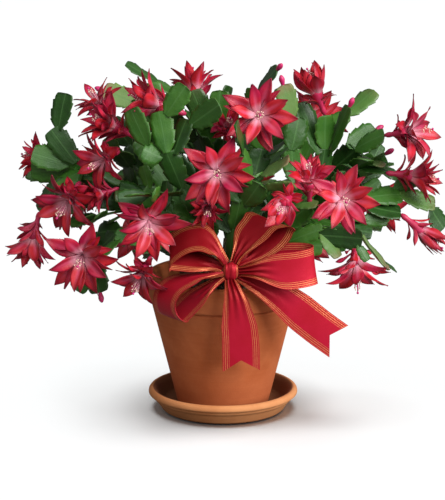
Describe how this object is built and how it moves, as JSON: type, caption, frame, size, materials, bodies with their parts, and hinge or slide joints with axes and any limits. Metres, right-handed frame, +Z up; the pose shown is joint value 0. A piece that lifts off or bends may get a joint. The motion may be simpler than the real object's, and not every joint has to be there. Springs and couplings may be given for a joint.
{
  "type": "potted christmas cactus",
  "caption": "Round clay pot on a saucer with arching flat-leaved cactus stems in bloom and a ribbon bow on a pick, free-standing.",
  "frame": {"origin": "on the pot's axis, in the plane of the saucer's flat underside", "axes": "+Z up along the pot's axis; -Y is the front, the side of the bow; +X to the right seen from the front"},
  "size_m": [0.465, 0.3308, 0.3773],
  "materials": {
    "saucer": "matte",
    "clay": "matte",
    "soil": "matte",
    "leaf": "satin",
    "petal": "satin",
    "ribbon": "satin",
    "wood": "matte"
  },
  "bodies": {
    "root": {"saucer": "saucer", "pot": "clay", "soil": "soil", "bow_knot": "ribbon", "bow_pick": "wood", "bow_loop_upper_left": "ribbon", "bow_loop_lower_left": "ribbon", "bow_loop_upper_right": "ribbon", "bow_loop_right": "ribbon", "bow_tail_front": "ribbon", "bow_tail_right": "ribbon", "stem_01": "leaf", "stem_02": "leaf", "stem_03": "leaf", "stem_04": "leaf", "stem_05": "leaf", "stem_06": "leaf", "stem_07": "leaf", "stem_08": "leaf", "stem_09": "leaf", "stem_10": "leaf", "stem_11": "leaf", "stem_12": "leaf", "stem_13": "leaf", "stem_14": "leaf", "stem_15": "leaf", "stem_16": "leaf", "stem_17": "leaf", "stem_18": "leaf", "bloom_01": "petal", "bloom_02": "petal", "bloom_03": "petal", "bloom_04": "petal", "bloom_05": "petal", "bloom_06": "petal", "bloom_07": "petal", "bloom_08": "petal", "bloom_09": "petal", "bloom_10": "petal", "bloom_11": "petal", "bloom_12": "petal", "bloom_13": "petal", "bloom_14": "petal", "bloom_15": "petal", "bloom_16": "petal", "bloom_17": "petal", "bloom_18": "petal", "bloom_19": "petal", "bloom_20": "petal", "bloom_21": "petal", "bloom_22": "petal", "bloom_23": "petal", "bloom_24": "petal", "bloom_25": "petal", "bloom_26": "petal", "bloom_27": "petal", "bloom_28": "petal", "bloom_29": "petal", "bloom_30": "petal", "bloom_31": "petal"}
  },
  "joints": []
}
